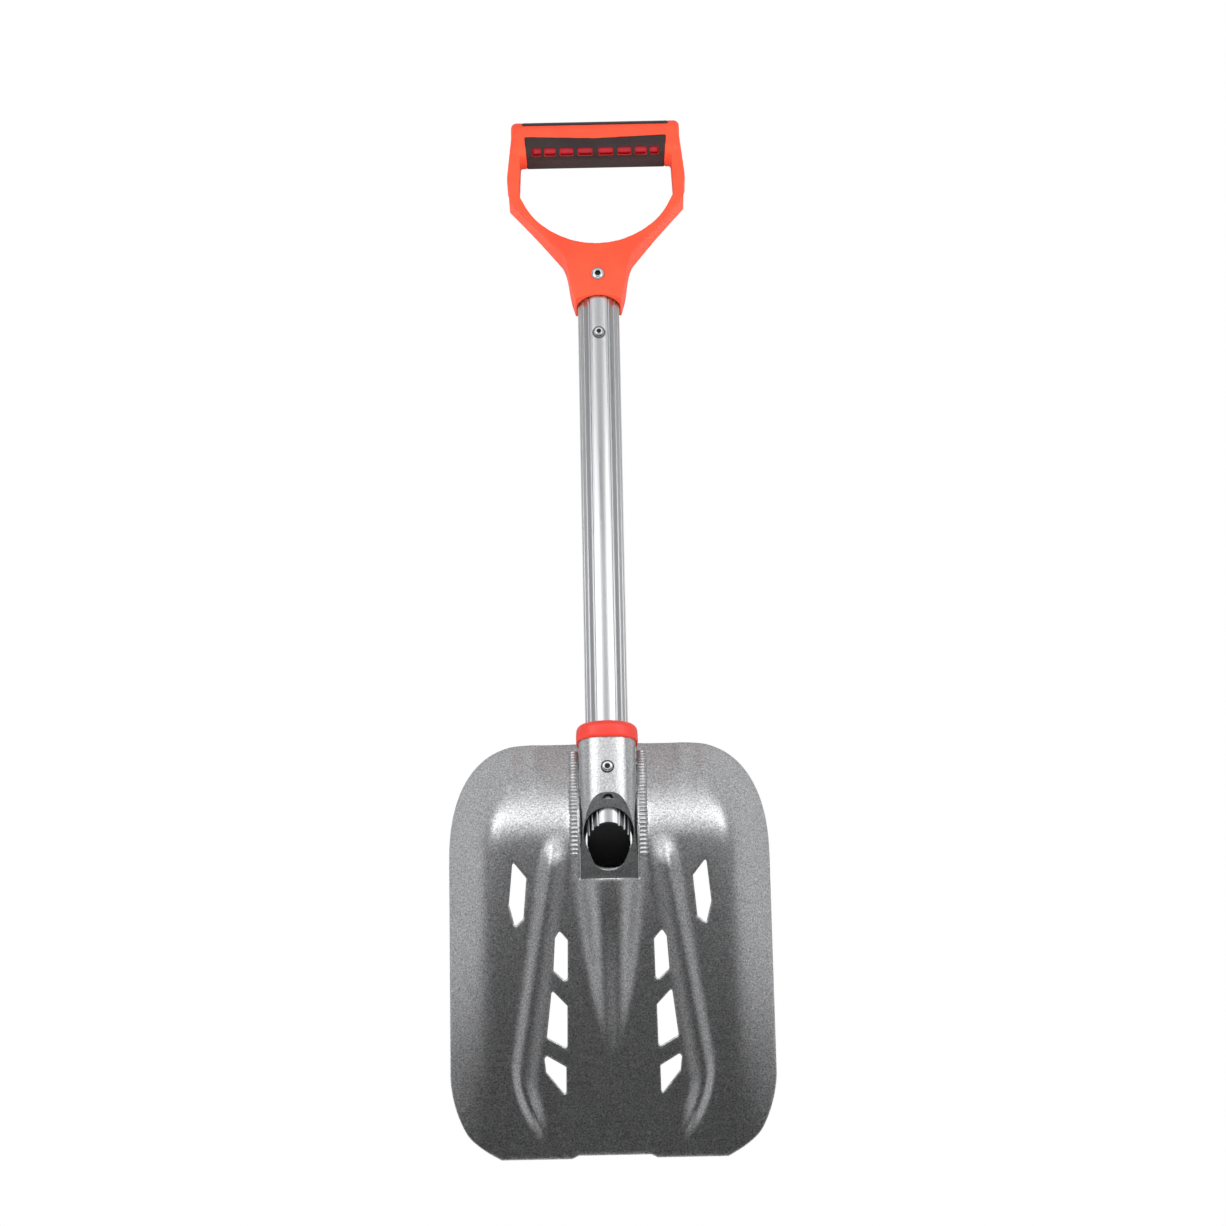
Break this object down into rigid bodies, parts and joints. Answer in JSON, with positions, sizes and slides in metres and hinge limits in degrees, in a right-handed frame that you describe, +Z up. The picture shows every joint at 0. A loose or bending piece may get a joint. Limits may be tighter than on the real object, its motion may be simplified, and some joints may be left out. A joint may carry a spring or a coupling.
{
  "type": "camp shovel",
  "caption": "Collapsible snow and camp shovel: pressed aluminium blade with welded socket, fluted telescopic shaft and D-grip.",
  "frame": {"origin": "on the ground under the middle of the shovel's box as it lies face down", "axes": "+X across the blade, +Y from the cutting edge to the grip, +Z up, out of the blade's back"},
  "size_m": [0.227, 0.7694, 0.0495],
  "materials": {
    "bead_blasted_aluminium": "bead blasted and anodised",
    "satin_aluminium": "satin, bead blasted",
    "weld_aluminium": "rippled weld bead",
    "anodised_shaft": "drawn and anodised",
    "red_plastic": "moulded, fine texture",
    "orange_plastic": "moulded, fine texture",
    "black_plastic": "moulded",
    "black_rubber": "soft overmoulded grip",
    "stainless_steel": "turned",
    "spring_steel": "bent strip"
  },
  "bodies": {
    "blade_assembly": {"blade": "bead_blasted_aluminium", "socket_tube": "satin_aluminium", "weld_bead_right": "weld_aluminium", "weld_bead_left": "weld_aluminium", "socket_collar": "red_plastic"},
    "shaft": {"outer_shaft": "anodised_shaft", "end_plug": "black_plastic", "lock_leaf_spring": "spring_steel"},
    "lock_button": {"lock_button": "stainless_steel"},
    "handle": {"inner_tube": "anodised_shaft", "tube_guide": "black_plastic", "handle_frame": "orange_plastic", "palm_pad": "black_rubber", "top_pad": "black_rubber", "handle_screw": "stainless_steel", "handle_nut": "stainless_steel", "length_leaf_spring": "spring_steel", "extension_button": "stainless_steel", "extension_leaf_spring": "spring_steel"},
    "length_button": {"length_button": "stainless_steel"}
  },
  "joints": [
    {"name": "shaft_release", "type": "slide", "parent": "blade_assembly", "child": "shaft", "axis": [0, 0.9996, -0.0283], "range_m": [0, 0.12], "deforming": ["lock_button", "lock_leaf_spring"]},
    {"name": "handle_extension", "type": "slide", "parent": "shaft", "child": "handle", "axis": [0, 0.9996, -0.0283], "range_m": [0, 0.21], "deforming": ["length_button", "length_leaf_spring"]},
    {"name": "lock_button_press", "type": "slide", "parent": "shaft", "child": "lock_button", "axis": [0, -0.0283, -0.9996], "range_m": [0, 0.00766], "stiffness_N_per_m": 900, "springref_m": -0.002},
    {"name": "length_button_press", "type": "slide", "parent": "handle", "child": "length_button", "axis": [0, -0.0283, -0.9996], "range_m": [0, 0.00569], "stiffness_N_per_m": 900, "springref_m": -0.002}
  ]
}
